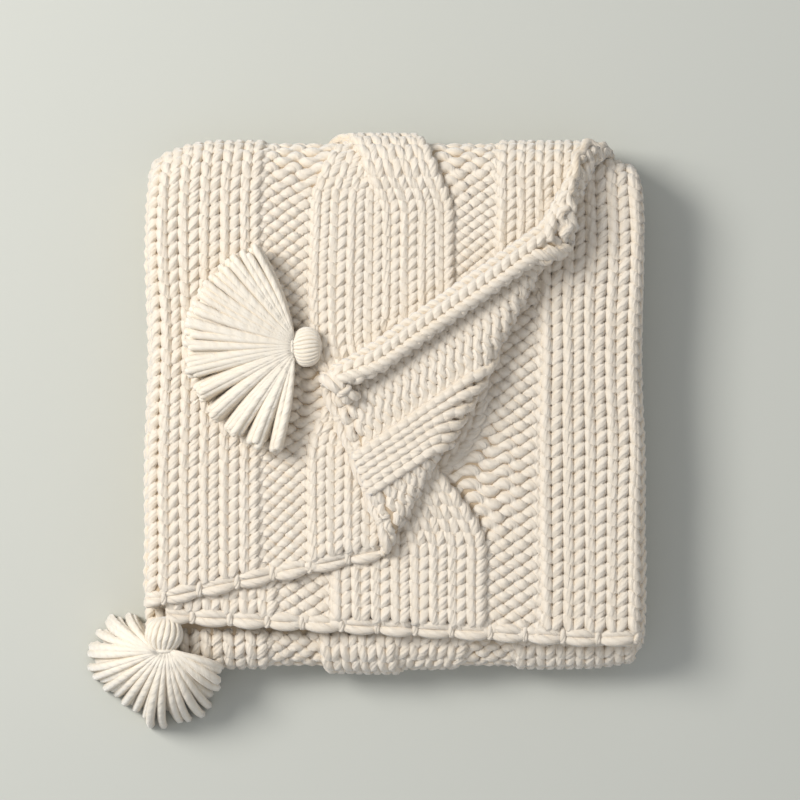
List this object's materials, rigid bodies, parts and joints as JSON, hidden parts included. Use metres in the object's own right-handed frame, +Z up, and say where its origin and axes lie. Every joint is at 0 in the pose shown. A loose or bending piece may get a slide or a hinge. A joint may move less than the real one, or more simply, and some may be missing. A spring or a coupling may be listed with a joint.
{
  "type": "cable knit throw blanket",
  "caption": "Chunky cable knit throw folded into a flat square stack, with a corner of the top layer turned back and a yarn tassel on each corner that shows.",
  "frame": {"origin": "middle of the underside, at the centre of the object's box seen from above", "axes": "+Z up off the surface it lies on, +Y from the front hem towards the back fold, +X to the right with the free left side of the middle layer at -X"},
  "size_m": [0.4978, 0.5304, 0.1118],
  "materials": {
    "cream_wool_knit": "matt thick wool yarn, knitted",
    "cream_wool_tassel_upper": "matt soft wool yarn, cut strands",
    "cream_wool_tassel_lower": "matt soft wool yarn, cut strands"
  },
  "bodies": {
    "root": {"knitted_throw": "cream_wool_knit", "tassel_upper": "cream_wool_tassel_upper", "tassel_lower": "cream_wool_tassel_lower"}
  },
  "joints": []
}
